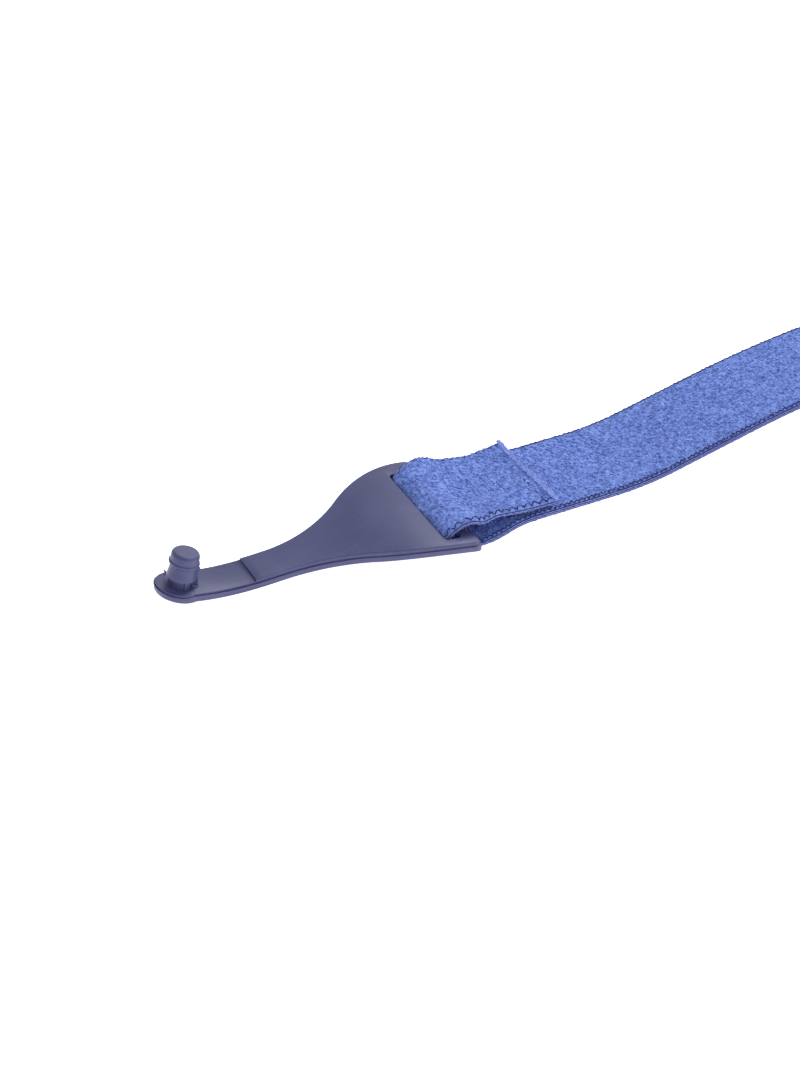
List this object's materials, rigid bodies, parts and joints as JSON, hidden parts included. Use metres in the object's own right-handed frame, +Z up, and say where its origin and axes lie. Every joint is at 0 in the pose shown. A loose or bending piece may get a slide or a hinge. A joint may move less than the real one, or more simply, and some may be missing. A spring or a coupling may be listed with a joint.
{
  "type": "goggle head strap",
  "caption": "Detachable elastic head strap for sports protective goggles, with a moulded keyhole-button clip at each end and hook-and-loop tails.",
  "frame": {"origin": "on the floor under the middle of the strap", "axes": "+X along the strap, +Y across it, +Z up"},
  "size_m": [0.3082, 0.0282, 0.0125],
  "materials": {
    "clip_plastic": "fine matt, slate indigo",
    "band_fabric": "napped loop pile, royal blue",
    "hook_tape": "pale lilac hook tape",
    "thread": "navy thread"
  },
  "bodies": {
    "band_middle": {"band_middle": "band_fabric"},
    "band_stretch_end": {"band_stretch_end": "band_fabric"},
    "left_run": {"left_run": "band_fabric"},
    "left_loop": {"left_loop": "band_fabric"},
    "left_clip": {"left_clip": "clip_plastic"},
    "left_tail_root": {"left_tail_root": "band_fabric"},
    "left_tail": {"left_tail_end": "band_fabric", "left_hook_patch": "hook_tape", "left_stitches": "thread"},
    "right_run": {"right_run": "band_fabric"},
    "right_loop": {"right_loop": "band_fabric"},
    "right_clip": {"right_clip": "clip_plastic"},
    "right_tail_root": {"right_tail_root": "band_fabric"},
    "right_tail": {"right_tail_end": "band_fabric", "right_hook_patch": "hook_tape", "right_stitches": "thread"}
  },
  "joints": [
    {"name": "band_stretch", "type": "slide", "parent": "band_middle", "child": "band_stretch_end", "axis": [1, 0, 0], "range_m": [0, 0.04], "stiffness_N_per_m": 120},
    {"name": "left_fold", "type": "hinge", "parent": "band_middle", "child": "left_run", "pos_m": [-0.04181, 0, 0.00712], "axis": [0, 1, 0], "range_deg": [-60, 60]},
    {"name": "left_length", "type": "slide", "parent": "left_run", "child": "left_loop", "axis": [-1, 0, 0], "range_m": [-0.006, 0.005], "deforming": ["left_run"]},
    {"name": "left_swivel", "type": "hinge", "parent": "left_loop", "child": "left_clip", "pos_m": [-0.1002, 0, 0.00312], "axis": [0, 1, 0], "range_deg": [-90, 90]},
    {"name": "left_peel", "type": "hinge", "parent": "left_loop", "child": "left_tail_root", "pos_m": [-0.09492, 0, 0.00415], "axis": [0, -1, 0], "range_deg": [0, 75]},
    {"name": "left_tail_slide", "type": "slide", "parent": "left_tail_root", "child": "left_tail", "axis": [-1, 0, 0], "range_m": [-0.006, 0.005], "deforming": ["left_tail_root"]},
    {"name": "right_fold", "type": "hinge", "parent": "band_stretch_end", "child": "right_run", "pos_m": [0.04181, 0, 0.00712], "axis": [0, -1, 0], "range_deg": [-60, 60]},
    {"name": "right_length", "type": "slide", "parent": "right_run", "child": "right_loop", "axis": [1, 0, 0], "range_m": [-0.006, 0.005], "deforming": ["right_run"]},
    {"name": "right_swivel", "type": "hinge", "parent": "right_loop", "child": "right_clip", "pos_m": [0.1002, 0, 0.00312], "axis": [0, -1, 0], "range_deg": [-90, 90]},
    {"name": "right_peel", "type": "hinge", "parent": "right_loop", "child": "right_tail_root", "pos_m": [0.09492, 0, 0.00415], "axis": [0, 1, 0], "range_deg": [0, 75]},
    {"name": "right_tail_slide", "type": "slide", "parent": "right_tail_root", "child": "right_tail", "axis": [1, 0, 0], "range_m": [-0.006, 0.005], "deforming": ["right_tail_root"]}
  ],
  "couplings": [
    {"joint": "left_tail_slide", "follows": "left_length", "ratio": 1},
    {"joint": "right_tail_slide", "follows": "right_length", "ratio": 1}
  ]
}
